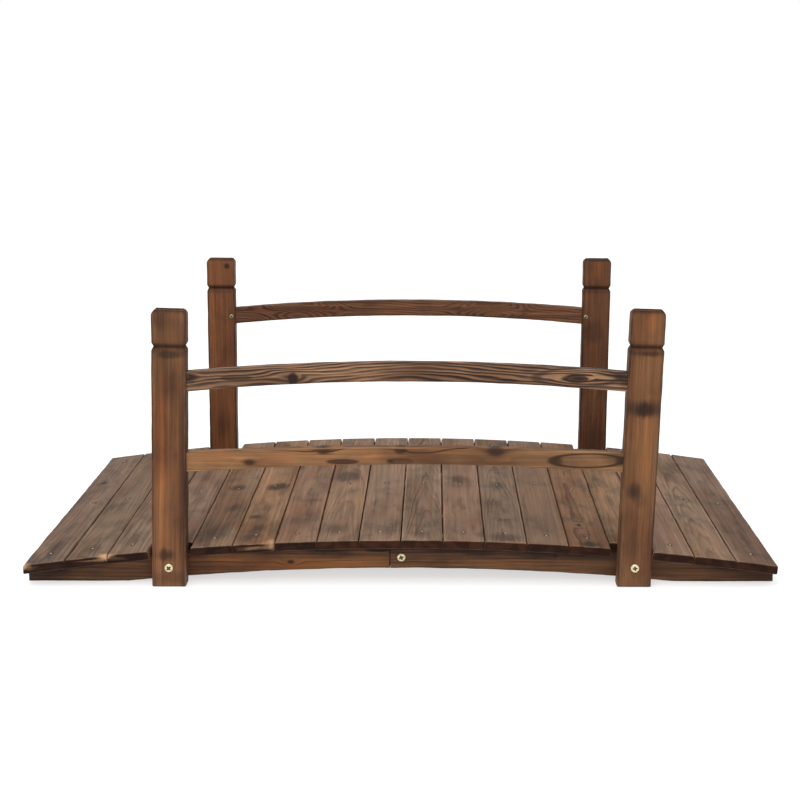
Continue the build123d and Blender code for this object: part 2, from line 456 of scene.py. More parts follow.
    colour.feed(wood.shader.inputs["Base Color"])
    dull = (soot_and_shade * 0.2).step("ADD", fibre * 0.22 + (gloss - 0.11), clamp=True)
    dull.feed(wood.shader.inputs["Roughness"])
    wood.shader.inputs["Specular IOR Level"].default_value = 0.18
    wood.emboss(line * 0.55 + fibre * 0.5 + strand * 0.35 - raw * quick, 0.55, 0.0006)
    return wood.material


def seat(x):
    """Height of a stringer's top edge, on which the planks are nailed."""
    return DECK_CENTRE + sqrt(SEAT_RADIUS**2 - x**2)


def soffit(x):
    """Height of a stringer's underside: a flat pad at the end and a low arch between."""
    if abs(x) >= ARCH_HALF:
        return 0.0
    return ARCH_RISE - ARCH_RADIUS + sqrt(ARCH_RADIUS**2 - x**2)


def stringer_cuts(side):
    """Cuts from the end of a half's tongue, beyond mid-span, to the bridge's end."""
    half = STRINGER_THICK / 2
    tongue = (-half, 0.0) if side > 0 else (0.0, half)
    full = (-half, half)
    spans = [(-LAP_HALF + LAP_GAP + 0.0056 * step, tongue) for step in range(8)] + [(LAP_HALF, tongue)]
    spans += [(LAP_HALF + 0.008 * step, full) for step in range(91)] + [(LENGTH / 2, full)]
    return [(x, soffit(x), seat(x), *faces, STRINGER_EASE / (2 if faces == tongue else 1))
            for x, faces in spans]


STRINGER_LIGHTS = {-1: paint(98, 65, 40), 1: paint(92, 61, 38)}
STRINGER_DARK = paint(48, 27, 18)
# The second stain darkens the stringers' whole top: char and painted shade under the deck's overhang.
STRINGER_STAINS_AND_SHADE = [(0.68, -0.012, 0.1, 0.02, 0.85), (0.35, 0.032, 1.5, 0.038, 0.9),
                   (0.73, -0.02, 0.1, 0.05, 0.75), (0.56, -0.03, 0.2, 0.02, 0.3)]
stringer_marks = {
    "front_left": dict(
        knots=[(-0.222, -0.009, 0.005)],
        lenses=[(-0.0228, -0.005, 0.0012, 0.2, 0.95), (-0.047, 0.0155, 0.028, 0.0045, 0.9),
                (-0.25, 0.017, 0.05, 0.004, 0.7), (-0.15, 0.014, 0.03, 0.003, 0.6)],
        glows=[(-0.2, -0.012, 0.24, 0.014, 1.0), (-0.34, 0.0, 0.1, 0.012, 0.9),
               (-0.05, 0.0, 0.05, 0.008, 0.5)],
    ),
    "front_right": dict(
        knots=[(0.31, 0.004, 0.004)], lenses=[(0.2, 0.016, 0.07, 0.004, 0.5)],
        glows=[(0.2, -0.012, 0.2, 0.007, 0.3), (0.6, -0.03, 0.12, 0.006, 0.35)],
    ),
}

for line_index, (line_name, line_y) in enumerate(
        (("front", -OUTER_LINE), ("middle", 0.0), ("back", OUTER_LINE))):
    for side, side_name in ((-1, "left"), (1, "right")):
        look = 2 * line_index + (side > 0)

        def stand(s, a, b, side=side, line_y=line_y):
            return (side * s, line_y + b, a)

        stringer = build_board(
            f"{line_name}_{side_name}_stringer_board", stringer_cuts(side), stand, seed=11 + look,
            grain=lambda s, a, b, side=side: (side * s, a - 0.05, b), wear=0.00025,
        )
        plain_marks = dict(knots=[(side * (0.2 + 0.07 * look), 0.008 - 0.006 * look, 0.005)])
        stringer.data.materials.append(charred_fir(
            f"stringer_fir_{look + 1}", STRINGER_LIGHTS[side], STRINGER_DARK, ring=0.0075,
            pith=(-0.07 + 0.02 * look, -0.03), rise=0.008 * (-1) ** look, sway=0.008, figure=0.8,
            scorch=0.45, streak=0.16, seed=2.0 + look * 1.7,
            stains_and_shade=[(side * s, *size) for s, *size in STRINGER_STAINS_AND_SHADE],
            **stringer_marks.get(f"{line_name}_{side_name}", plain_marks),
        ))
        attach(stringer, "root")
        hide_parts(f"{line_name}_stringer_{side_name}")


# Lap bolts: one pan-headed, cross-recessed bolt through each half-lap, of yellow zinc plated
# steel, 6 mm in the shank, with a washer and a hexagon nut on the inner side.

BOLT_HEAD = 0.0088
BOLT_HEAD_HEIGHT = 0.0032
BOLT_CROSS = 0.005
WASHER = [(0.0088, 0.0), (0.0090, 0.0003), (0.0090, 0.0012), (0.0087, 0.0015), (0.0035, 0.0015)]
NUT = [(0.0052, 0.0015), (0.0057, 0.0020), (0.0058, 0.0058), (0.0052, 0.0064), (0.0030, 0.0064)]
SHANK_TIP = [(0.0030, 0.0), (0.0030, 0.0088), (0.0023, 0.0096)]
LAP_BOLT_PLACE = (0.0004, 0.051)
# How strongly the recesses' dark olive is laid all over each washer, nut and shank tip.
NUT_SIDE_DARKENING = 0.25


def zinc_plate(name, colour=paint(226, 214, 178)):
    """Yellow zinc plating, a little dull and spotted, with painted shade in recesses and round rims."""
    plate = Finish(name)
    place = Reading(plate.tree, plate.node("TexCoord").outputs["Object"])
    cloud = plate.mottle(place, (260.0, 260.0, 260.0), 3.0, 3.0)
    fine = plate.mottle(place, (1500.0, 1500.0, 1500.0), 5.0)
    tone = plate.tint(colour, paint(186, 170, 130), cloud.ramp(0.35, 0.65, 0.0, 0.45))
    # Painted shade: dark olive over the cross recesses, the heads' rims and the nails' sunk feet.
    tone = plate.tint(tone, paint(62, 58, 28), plate.layer("painted_shade", "Fac") * 0.95)
    tone.feed(plate.shader.inputs["Base Color"])
    (cloud * 0.3 + 0.25).feed(plate.shader.inputs["Roughness"])
    plate.shader.inputs["Metallic"].default_value = 0.85
    plate.emboss(fine, 0.2, 0.0002)
    return plate.material


def screw_head(size, height, cross, turn, segments=56, rows=18):
    """Points, faces and painted shade marks of a pan head with a cross recess, standing on z = 0."""
    points, faces, painted_shade = [(0.0, 0.0, height * 0.52)], [], [1.0]
    for row in range(1, rows + 1):
        share = row / rows
        dome = height * (1 - share**5) ** 0.6 if share < 1 else 0.0
        for segment in range(segments):
            angle = 2 * pi * segment / segments
            x, y = size * share * cos(angle), size * share * sin(angle)
            cross_x = x * cos(turn) + y * sin(turn)
            cross_y = y * cos(turn) - x * sin(turn)
            arm = min(abs(cross_x), abs(cross_y))
            far = max(abs(cross_x), abs(cross_y))
            inside = max(0.0, min(1.0, (cross * 0.4 - arm) / (cross * 0.14)))
            inside *= max(0.0, min(1.0, (cross - far) / (cross * 0.15)))
            points.append((x, y, dome - inside * height * 0.5))
            # Painted shade: as deep as the cross recess, and half over the outer rim where the head meets
            # the wood.
            painted_shade.append(inside if share < 0.96 else 0.5)
    for segment in range(segments):
        faces.append((0, 1 + segment, 1 + (segment + 1) % segments))
    for low in range(1, 1 + segments * (rows - 1), segments):
        for segment in range(segments):
            after = (segment + 1) % segments
            faces.append((low + segment, low + segments + segment, low + segments + after, low + after))
    return points, faces, painted_shade


def turned(profile, segments=40, sides=0):
    """Points and faces of a profile of (radius, height) turned round, or cut to flat sides."""
    points, faces = [], []
    for radius, height in profile:
        for segment in range(segments):
            angle = 2 * pi * segment / segments
            reach = radius
            if sides:
                part = pi / sides
                flat = cos(part) / cos((angle % (2 * part)) - part)
                reach = min(radius, radius * flat * 1.06)
            points.append((reach * cos(angle), reach * sin(angle), height))
    for low in range(0, segments * (len(profile) - 1), segments):
        for segment in range(segments):
            after = (segment + 1) % segments
            faces.append((low + segment, low + after, low + segments + after, low + segments + segment))
    faces.append(tuple(reversed(range(segments))))
    faces.append(tuple((len(profile) - 1) * segments + segment for segment in range(segments)))
    return points, faces


def join_pieces(name, pieces, material):
    """One mesh of several (points, faces, painted shade, placing) pieces."""
    points, faces, painted_shade = [], [], []
    for piece_points, piece_faces, piece_shade, placing in pieces:
        start = len(points)
        points += [placing @ Vector(point) for point in piece_points]
        faces += [tuple(start + index for index in face) for face in piece_faces]
        painted_shade += piece_shade
    joined = make_piece(name, points, faces, {"painted_shade": painted_shade}, 34)
    joined.data.materials.append(material)
    return joined


def bolt_pieces(x, z, head_y, nut_y, out, turn):
    """A bolt along Y, with its head at head_y, its washer and nut at nut_y, and out the head's way."""
    face = Matrix.Translation((x, head_y, z)) @ Matrix.Rotation(radians(90) * out, 4, "X")
    back = Matrix.Translation((x, nut_y, z)) @ Matrix.Rotation(-radians(90) * out, 4, "X")
    pieces = [(*screw_head(BOLT_HEAD, BOLT_HEAD_HEIGHT, BOLT_CROSS, turn), face)]
    for points, faces in (turned(WASHER), turned(NUT, 48, 6), turned(SHANK_TIP)):
        pieces.append((points, faces, [NUT_SIDE_DARKENING] * len(points), back))
    return pieces


zinc = zinc_plate("yellow_zinc")
lap_bolt_pieces = []
for line_index, line_y in enumerate((-OUTER_LINE, 0.0, OUTER_LINE)):
    out = -1 if line_y > 0 else 1
    face = out * STRINGER_THICK / 2
    lap_bolt_pieces += bolt_pieces(*LAP_BOLT_PLACE, line_y - face, line_y + face, out, 0.35 + line_index)
lap_bolts = join_pieces("lap_bolts", lap_bolt_pieces, zinc)
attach(lap_bolts, "root")


# Deck planks: eighteen cross planks of fir, 81 by 18 mm, laid with narrow gaps along the bow.
# They are charred and brushed before they are nailed down, so the ends are sooty, and some
# front corners have torn back to raw wood.

PLANK_COUNT = 18
PLANK_TURN = 2 * asin(LENGTH / 2 / DECK_RADIUS) / PLANK_COUNT
PLANK_GAP = 0.0026
PLANK_HALF = (DECK_RADIUS * PLANK_TURN - PLANK_GAP) / 2
PLANK_EASE = 0.0019
PLANK_STEPS = 84
SLOT_CLOSING = 0.0015
DECK_HALF = 0.335
SHORT_HALF = 0.3029
POST_PLANKS = (4, 15)
OUTER_OVERHANGS = {1: (0.0022, 0), PLANK_COUNT: (0, 0.002)}
NAIL_ROWS = (-0.287, 0.0, 0.287)
TORN_CORNERS = {  # Which edge of a plank's front end is torn, how far and how deep
    1: (-1, 0.013, 0.003), 2: (1, 0.014, 0.004), 3: (-1, 0.012, 0.005), 6: (1, 0.022, 0.006),
}

PLANK_DARK = paint(66, 44, 33)
plank_looks = {
    1: dict(light=paint(109, 88, 72), knots=[(0.136, -0.0075, 0.006), (-0.003, 0.0105, 0.004)],
            figure=0.8, stains_and_shade=[(-0.27, 0.0, 0.06, 0.02, 0.5)]),
    2: dict(light=paint(109, 88, 69),
            stains_and_shade=[(-0.05, -0.005, 0.07, 0.012, 0.4), (-0.29, 0.0, 0.03, 0.02, 0.4)]),
    3: dict(light=paint(119, 97, 79),
            stains_and_shade=[(-0.15, 0.01, 0.05, 0.02, 0.4), (-0.2, -0.03, 0.05, 0.006, 0.5)]),
    4: dict(light=paint(119, 94, 76)),
    5: dict(light=paint(119, 95, 73), figure=0.6,
            stains_and_shade=[(0.004, -0.003, 0.024, 0.026, 0.65), (-0.12, 0.012, 0.03, 0.016, 0.4),
                    (-0.26, -0.005, 0.06, 0.034, 0.5), (0.06, -0.02, 0.02, 0.02, 0.3)]),
    6: dict(light=paint(126, 96, 70), streak=0.4, figure=0.6,
            stains_and_shade=[(-0.006, 0.006, 0.026, 0.03, 0.8), (-0.03, 0.02, 0.05, 0.012, 0.4),
                    (-0.185, -0.018, 0.02, 0.024, 0.75), (-0.25, 0.0, 0.03, 0.024, 0.5)],
            glows=[(-0.1, 0.0, 0.06, 0.02, 0.25), (-0.29, 0.02, 0.03, 0.02, 0.4)]),
    7: dict(light=paint(127, 99, 78), figure=0.6, stains_and_shade=[(-0.1, 0.01, 0.02, 0.03, 0.35)]),
    8: dict(light=paint(121, 96, 75), ring=0.006, pith=(0.004, -0.03), rise=0.06, figure=1.0,
            streak=0.35, glows=[(-0.1, 0.03, 0.2, 0.006, 0.4)],
            stains_and_shade=[(0.05, -0.004, 0.04, 0.036, 0.6), (-0.27, -0.01, 0.04, 0.03, 0.5)]),
    9: dict(light=paint(123, 99, 80), figure=0.55),
    10: dict(light=paint(124, 102, 83), ring=0.0042, pith=(0.004, -0.03), rise=0.06, figure=1.0,
             stains_and_shade=[(-0.3, 0.0, 0.03, 0.03, 0.4)]),
    11: dict(light=paint(121, 95, 76), figure=0.5, stains_and_shade=[(0.03, 0.0, 0.03, 0.02, 0.5)]),
    12: dict(light=paint(113, 92, 75), ring=0.004, rise=0.05, figure=1.0,
             stains_and_shade=[(-0.31, 0.0, 0.03, 0.04, 0.6), (0.0, 0.0, 0.03, 0.02, 0.4)]),
    13: dict(light=paint(111, 87, 68), figure=0.4, scorch=0.3),
    14: dict(light=paint(118, 88, 64), knots=[(-0.22, -0.009, 0.004), (-0.279, -0.006, 0.003)],
             figure=0.9, stains_and_shade=[(-0.32, 0.0, 0.02, 0.03, 0.8)]),
    15: dict(light=paint(125, 97, 72), streak=0.45, glows=[(-0.043, -0.02, 0.1, 0.012, 0.25)]),
    16: dict(light=paint(124, 98, 79), figure=0.8),
    17: dict(light=paint(124, 100, 79), ring=0.0042, rise=0.05, figure=0.95, streak=0.4,
             knots=[(-0.001, 0.002, 0.004)]),
    18: dict(light=paint(113, 91, 75), figure=0.7),
}


def plank_place(number):
    """How far round the bow a plank lies, the middle of its top, and its ways across and up."""
    angle = (number - 0.5 - PLANK_COUNT / 2) * PLANK_TURN
    crown = Vector((DECK_RADIUS * sin(angle), 0, DECK_CENTRE + DECK_RADIUS * cos(angle)))
    return angle, crown, Vector((cos(angle), 0, -sin(angle))), Vector((sin(angle), 0, cos(angle)))


def plank_cuts(number, reach):
    """Cuts from a plank's front end to its back end, a little bowed and uneven from plank to plank."""
    spread = noise.noise(Vector((number * 3.7, 1.5, 0.2)))
    front = -reach + (0.0006 + 0.0008 * abs(spread) if number not in POST_PLANKS else 0.0)
    left_over, right_over = OUTER_OVERHANGS.get(number, (0, 0))
    cuts = []
    for step in range(PLANK_STEPS + 1):
        y = front + (reach - front) * step / PLANK_STEPS
        bow = 0.00015 * noise.noise(Vector((y * 4, number * 5.1, 0)))
        left = -PLANK_HALF - 0.0001 + bow - left_over
        right = PLANK_HALF + 0.0001 + bow + right_over
        cuts.append((y, left, right, -PLANK_THICK, 0.0, PLANK_EASE))
    return cuts


def plank_look(number):
    """A plank's wood: what all share, what is its own, and a dark stain round each nail."""
    look = dict(
        ring=0.005, pith=(0.02 * noise.noise(Vector((number * 1.9, 7, 3))), -0.045), sway=0.014,
        rise=0.05 * noise.noise(Vector((number * 2.3, 2, 8))) + 0.01, figure=0.75, scorch=0.5,
        streak=0.2, brush=0.9, cloud=0.9, stains_and_shade=[], rubbed=0.9, sooty_edge=0.2, end_dark=1.0,
        end_tone=0.8 if number < 8 else 1.3 if number < 13 else 1.0, gloss=0.7,
        flank=(PLANK_HALF, 0.55 if number in (1, PLANK_COUNT) else 1.0),
    )
    look.update(plank_looks[number])
    look["figure"] *= 0.8
    look["streak"] *= 0.45
    look["stains_and_shade"] = look["stains_and_shade"] + [(y, 0.0, 0.0075, 0.0065, 0.75) for y in NAIL_ROWS]
    return look


for number in range(1, PLANK_COUNT + 1):
    reach = SHORT_HALF if number in POST_PLANKS else DECK_HALF
    angle, crown, side_way, up_way = plank_place(number)

    def lay(s, a, b, crown=crown, side_way=side_way, up_way=up_way):
        """Planks widen a little downwards, so that no light comes up through the slots."""
        spread = 1 - SLOT_CLOSING * b / PLANK_THICK / PLANK_HALF
        return crown + Vector((0, s, 0)) + side_way * a * spread + up_way * b

    tears = []
    if number in TORN_CORNERS:
        edge, size, depth = TORN_CORNERS[number]
        tears = [(-reach, edge * PLANK_HALF, 0.0, size, depth)]
    plank = build_board(f"plank_{number:02d}_board", plank_cuts(number, reach), lay,
                        seed=31 + number * 1.3, rough_end=0.0012, wear=0.0004, chips=0.0, tears=tears)
    plank.data.materials.append(charred_fir(
        f"plank_fir_{number:02d}", dark=PLANK_DARK, seed=40.0 + number * 2.9, **plank_look(number),
    ))
    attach(plank, "root")
    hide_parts(f"deck_plank_{number:02d}")


# Nails: one in each plank over each stringer, round wire nails with small plated heads. They are
# driven down to the charred face, a little deeper in the middle and back rows.

NAIL = [(0.0022, -0.0006), (0.0023, 0.0001), (0.0019, 0.0005), (0.0009, 0.0006)]
NAIL_DEPTHS = (0.0, -0.0004, -0.0004)
NAIL_STRAY = 0.004

nails = []
for number in range(1, PLANK_COUNT + 1):
    angle, crown, side_way, up_way = plank_place(number)
    for row, (nail_y, depth) in enumerate(zip(NAIL_ROWS, NAIL_DEPTHS)):
        off = NAIL_STRAY * noise.noise(Vector((number * 4.3, row * 9.1, 2)))
        off_y = NAIL_STRAY * noise.noise(Vector((number * 6.1, row * 3.7, 5)))
        centre = crown + Vector((0, nail_y + off_y, 0)) + side_way * off
        placing = Matrix.Translation(centre) @ Matrix.Rotation(angle, 4, "Y")
        points, faces = turned(NAIL, 14)
        # Painted shade: full on the foot of the head, sunk in the wood, and 0.2 over the rest of it.
        painted_shade = [0.2 if point[2] > 0 else 1.0 for point in points]
        nails.append((points, faces, painted_shade, placing @ Matrix.Translation((0, 0, depth))))
deck_nails = join_pieces("deck_nails", nails, zinc_plate("nail_plate", paint(176, 166, 150)))
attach(deck_nails, "root")


# Posts: four fir posts, 68 by 28 mm, with chamfered heads and a V groove cut all round below
# each head. They are bolted to the outer faces of the outer stringers and stand on the ground.
# Each railing leans a little along the bridge, and the front posts stand a little to the right.

POST_HALF = 0.034
POST_THICK = 0.028
POST_EASE = 0.0024
POST_SPACING = 0.9255
POST_HEIGHT = 0.562
BOLT_HEIGHT = 0.04
HEAD_ROUND = ((0.0085, 0.0003, 0.1), (0.006, 0.0013, 0.3), (0.0036, 0.0029, 0.6),
              (0.0016, 0.0046, 0.8), (0.0, 0.0062, 1.0))
GROOVE_DROP = 0.073
GROOVE_HALF = 0.0075
GROOVE_DEEP = 0.0036
RAIL_LINE = 0.3173
LEANS = {"front": radians(1.6), "back": radians(0.41)}
NUDGES = {("front", -1): 0.0018, ("front", 1): 0.0032, ("back", -1): 0, ("back", 1): 0}

post_looks = {
    "front_left": dict(
        light=paint(108, 72, 45), dark=paint(55, 34, 22), pith=(0.05, -0.05), streak=0.2,
        glows=[(0.24, -0.014, 0.22, 0.012, 0.9), (0.47, 0.005, 0.03, 0.012, 0.4)],
        stains_and_shade=[(0.026, -0.006, 0.017, 0.024, 0.75), (0.434, 0.0, 0.009, 0.034, 0.65),
                (0.2, 0.032, 0.34, 0.018, 0.5), (0.505, -0.018, 0.03, 0.02, 0.5),
                (0.39, -0.01, 0.06, 0.026, 0.35), (0.485, 0.005, 0.05, 0.05, 0.3),
                (-0.02, 0.0, 0.02, 0.04, 0.3)],
    ),
    "front_right": dict(
        light=paint(110, 75, 47), dark=paint(53, 33, 22), pith=(-0.06, -0.08),
        glows=[(0.25, 0.01, 0.12, 0.012, 0.6), (0.5, 0.006, 0.03, 0.016, 0.8),
               (0.27, -0.012, 0.05, 0.008, 0.6)],
        stains_and_shade=[(0.327, 0.002, 0.02, 0.06, 0.6), (0.325, 0.002, 0.015, 0.022, 0.75),
                (0.16, -0.0108, 0.022, 0.018, 0.55), (0.158, -0.0115, 0.01, 0.009, 0.4),
                (0.14, 0.004, 0.02, 0.014, 0.3), (0.437, 0.0, 0.008, 0.04, 0.7),
                (0.05, -0.006, 0.08, 0.02, 0.25)],
    ),
    "back_left": dict(
        light=paint(103, 64, 38), dark=paint(48, 29, 18), pith=(0.03, 0.05),
        glows=[(0.35, -0.022, 0.2, 0.01, 0.6)],
        stains_and_shade=[(0.504, 0.0161, 0.008, 0.008, 0.8), (0.1, 0.0, 0.06, 0.03, 0.4)],
    ),
    "back_right": dict(
        light=paint(89, 55, 33), dark=paint(42, 25, 16), pith=(-0.05, 0.05),
        glows=[(0.5, 0.0, 0.03, 0.016, 0.8)],
        stains_and_shade=[(0.34, -0.01, 0.03, 0.03, 0.35), (0.05, 0.0, 0.12, 0.05, 0.5)],
    ),
}


def post_cuts(foot, top):
    """Cuts from a post's foot to its head, set in at the groove and at the chamfered top."""
    groove = top - GROOVE_DROP
    neck, brow = groove - GROOVE_HALF, groove + GROOVE_HALF
    steps = [(foot + (neck - foot) * step / 68, 0.0, 0.0) for step in range(68)]
    # Third values darken the groove, most at its bottom, more below than above: char and painted shade.
    steps += [(neck, 0.0, 0.35), (neck + 0.004, 0.0019, 0.5), (groove, GROOVE_DEEP, 0.9),
              (brow - 0.002, 0.001, 0.5), (brow, 0.0, 0.2)]
    steps += [(brow + (top - 0.012 - brow) * step / 7, 0.0, 0.0) for step in range(1, 8)]
    steps += [(top - drop, inset, soot_and_shade) for drop, inset, soot_and_shade in HEAD_ROUND]
    return [(s, -POST_HALF + inset, POST_HALF - inset, -POST_THICK / 2 + inset, POST_THICK / 2 - inset,
             POST_EASE if s < top else 0.0006, soot_and_shade) for s, inset, soot_and_shade in steps]


for row, lean in LEANS.items():
    line_y = -RAIL_LINE if row == "front" else RAIL_LINE
    top = (POST_HEIGHT - BOLT_HEIGHT) / cos(lean)
    foot = -BOLT_HEIGHT / cos(lean)
    for side, side_name in ((-1, "left"), (1, "right")):
        base = Vector((side * POST_SPACING / 2 + NUDGES[row, side], line_y, BOLT_HEIGHT))

        def raise_post(s, a, b, base=base, lean=lean, foot=foot, top=top):
            """A post leans about its bolt, and its foot is cut level with the ground."""
            share = max(0.0, min(1.0, (s - foot) / (top - foot)))
            s = s + (1 - share) * a * tan(lean)
            up_way, side_way = Vector((sin(lean), 0, cos(lean))), Vector((cos(lean), 0, -sin(lean)))
            return base + up_way * s + side_way * a + Vector((0, b, 0))

        name = f"{row}_{side_name}"
        post = build_board(f"{name}_post_board", post_cuts(foot, top), raise_post,
                           seed=71 + side * 3 + len(row))
        look = dict(ring=0.0046, rise=0.01, sway=0.01, figure=0.26, scorch=0.3, streak=0.12, brush=0.9,
                    sooty_edge=0.8, gloss=0.62)
        look.update(post_looks[name])
        post.data.materials.append(charred_fir(
            f"{name}_post_fir", seed=101.0 + side * 4 + len(row) * 3, **look,
        ))
        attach(post, "root")
        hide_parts(f"{name}_post")


# Post bolts: one pan-headed bolt through the foot of each post and its stringer, like the lap
# bolts, with its washer and nut on the stringer's inner face.

post_bolt_pieces = []
for (row, side), nudge in NUDGES.items():
    out = 1 if row == "front" else -1
    head_y = -out * (RAIL_LINE + POST_THICK / 2)
    nut_y = -out * (OUTER_LINE - STRINGER_THICK / 2)
    post_bolt_pieces += bolt_pieces(side * POST_SPACING / 2 + nudge, BOLT_HEIGHT, head_y, nut_y, out,
                                    0.2 + side * 0.5 + out)
post_bolts = join_pieces("post_bolts", post_bolt_pieces, zinc)
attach(post_bolts, "root")


# Rails: two to a side, sawn to a shallow arch from 18 mm fir boards with strong figure, with
# stub tenons let into the posts. Each size is (crown height, rise, depth).

RAIL_THICK = 0.018
RAIL_EASE = 0.002
RAIL_SIZES = {"upper": (0.458, 0.019, 0.0375), "lower": (0.2875, 0.0125, 0.035)}
RAIL_DROOP = {"upper": 0.0016, "lower": 0.0028}
RAIL_INTO_POST = 0.004
RAIL_STEPS = 108
RAIL_NUDGES = {"front": 0.002, "back": 0}

rail_looks = {
    "front_upper": dict(
        light=paint(137, 103, 77), dark=paint(38, 24, 18), ring=0.0068, pith=(-0.3, -0.02), rise=0.0,
        crest=(0.017, 0.06), sway=0.014, figure=1.0, even=0.85, scorch=0.25, streak=0.2, brush=0.9,
        cloud=0.5, char=(0.8, 0.75, 0.7),
        knots=[(-0.222, -0.002, 0.005, -0.93, 0.28, False), (0.331, -0.003, 0.005, -0.93, 0.24, False),
               (-0.44, -0.003, 0.004, -0.85, 0.3, False)],
        glows=[(0.33, -0.002, 0.075, 0.017, 0.5), (-0.09, -0.008, 0.04, 0.008, 0.5),
               (-0.26, 0.0, 0.012, 0.006, 0.5), (-0.33, 0.012, 0.04, 0.006, 0.5)],
        lenses=[(-0.222, -0.004, 0.0105, 0.0125, 0.7), (0.331, -0.004, 0.025, 0.009, 0.85),
                (0.05, -0.0155, 0.022, 0.004, 0.7), (-0.333, -0.003, 0.035, 0.0075, 0.6)],
        ovals=[(0.331, -0.001, 0.085, 0.0185, 0.6)],
        stains_and_shade=[(-0.222, -0.004, 0.0125, 0.0175, 0.95), (-0.222, -0.003, 0.035, 0.02, 0.45),
                (-0.425, -0.002, 0.022, 0.012, 0.8), (-0.35, 0.0, 0.2, 0.05, 0.22),
                (0.425, 0.0, 0.022, 0.03, 0.75), (0.3, 0.0, 0.16, 0.05, 0.16),
                (0.2, -0.01, 0.03, 0.012, 0.45), (0.24, 0.012, 0.03, 0.006, 0.6)],
    ),
    "front_lower": dict(
        light=paint(133, 97, 65), dark=paint(54, 36, 24), ring=0.03, pith=(-0.232, 0.0), rise=0.0,
        sway=0.014, figure=0.8, scorch=0.1, streak=0.12, brush=0.8, cloud=0.6, char=(0.8, 0.75, 0.6),
        sooty_edge=0.12,
        knots=[(-0.306, -0.008, 0.006), (-0.1605, 0.0165, 0.0078), (-0.008, 0.018, 0.0085),
               (0.179, 0.0155, 0.0095)],
        lenses=[(-0.1226, -0.0058, 0.036, 0.0058, 0.85), (-0.009, -0.0055, 0.03, 0.0085, 0.6)],
        ovals=[(0.3583, -0.0033, 0.0745, 0.0145, 0.9)],
        glows=[(-0.37, -0.002, 0.1, 0.014, 0.3), (0.36, -0.003, 0.045, 0.009, 0.2),
               (-0.06, 0.006, 0.035, 0.012, 0.5), (-0.23, 0.0, 0.05, 0.012, 0.3)],
        stains_and_shade=[(0.22, 0.0, 0.25, 0.03, 0.3), (0.42, 0.0, 0.04, 0.02, 0.4),
                (0.05, -0.005, 0.06, 0.01, 0.35), (-0.0285, -0.0045, 0.012, 0.008, 0.85),
                (0.3, -0.003, 0.016, 0.011, 0.85), (0.424, -0.004, 0.013, 0.01, 0.75),
                (-0.306, -0.007, 0.02, 0.01, 0.6), (0.179, 0.014, 0.028, 0.014, 0.6),
                (-0.1605, 0.0165, 0.026, 0.011, 0.65), (-0.008, 0.017, 0.026, 0.014, 0.7)],
        veins=[([(-0.44, 0.0125), (-0.36, 0.0155), (-0.2825, 0.0168), (-0.2433, 0.0165),
                 (-0.2106, 0.0155), (-0.1846, 0.0142), (-0.1605, 0.0174), (-0.1487, 0.0144),
                 (-0.1355, 0.0168), (-0.1192, 0.0196), (-0.0996, 0.021), (-0.0604, 0.0212),
                 (-0.0276, 0.0206), (-0.008, 0.0188), (0.0116, 0.0127), (0.0445, 0.0121),
                 (0.0706, 0.0155), (0.0902, 0.0188), (0.1163, 0.0208), (0.15, 0.026), (0.2, 0.035),
                 (0.43, 0.035)], 1.0, 0.0024),
               ([(-0.44, -0.0205), (-0.42, -0.0223), (-0.3225, -0.0226), (-0.306, -0.019),
                 (-0.29, -0.03), (0.43, -0.034)], 0.6, 0.0016)],
    ),
    "back_upper": dict(
        light=paint(104, 68, 45), dark=paint(34, 20, 14), ring=0.0062, pith=(-0.16, 0.03), rise=0.012,
        crest=(-0.1, 0.05), sway=0.016, figure=0.95, even=0.5, scorch=0.3, streak=0.2,
        knots=[(-0.27, 0.0, 0.011, -2.6, 0.3, False), (0.2, 0.004, 0.01, -2.4, 0.3, False)],
    ),
    "back_lower": dict(
        light=paint(101, 72, 47), dark=paint(44, 27, 19), ring=0.0085, pith=(-0.12, 0.03), rise=0.015,
        sway=0.016, figure=0.85, even=0.3, scorch=0.3, streak=0.2, knots=[(0.1, 0.004, 0.006)],
    ),
}


def rail_cuts(half, crown, rise, depth, droop):
    """Cuts along a rail's arch. Its underside droops a little towards the posts."""
    radius = (half**2 + rise**2) / (2 * rise)
    reach = half + RAIL_INTO_POST
    cuts = []
    for step in range(RAIL_STEPS + 1):
        x = -reach + 2 * reach * step / RAIL_STEPS
        top = crown - radius + sqrt(radius**2 - x**2)
        bottom = top - depth - 0.001 - droop * (x / half) ** 2
        cuts.append((x, bottom, top, -RAIL_THICK / 2, RAIL_THICK / 2, RAIL_EASE))
    return cuts


for row, lean in LEANS.items():
    line_y = -RAIL_LINE if row == "front" else RAIL_LINE
    half = POST_SPACING / 2 - POST_HALF / cos(lean)
    for level, (crown, rise, depth) in RAIL_SIZES.items():
        shift = tan(lean) * (crown - rise - BOLT_HEIGHT) + RAIL_NUDGES[row]
        middle = crown - rise / 2 - depth / 2

        def set_rail(s, a, b, shift=shift, line_y=line_y):
            return (s + shift, line_y + b, a)

        name = f"{row}_{level}"
        rail = build_board(f"{name}_rail_board", rail_cuts(half, crown, rise, depth, RAIL_DROOP[level]),
                           set_rail, seed=131 + len(name) + len(row),
                           grain=lambda s, a, b, middle=middle: (s, a - middle, b))
        rail.data.materials.append(charred_fir(
            f"{name}_rail_fir", seed=150.0 + len(name) * 3 + len(row), gloss=0.6, **rail_looks[name],
        ))
        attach(rail, "root")
        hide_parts(f"{name}_rail")


# Rail screws: one small cross-recessed screw through the inner face of each post into each
# rail's tenon, plated like the bolts.

RAIL_SCREW = (0.005, 0.0018, 0.003)
SCREW_INSET = 0.0085
SCREW_DROP = 0.002

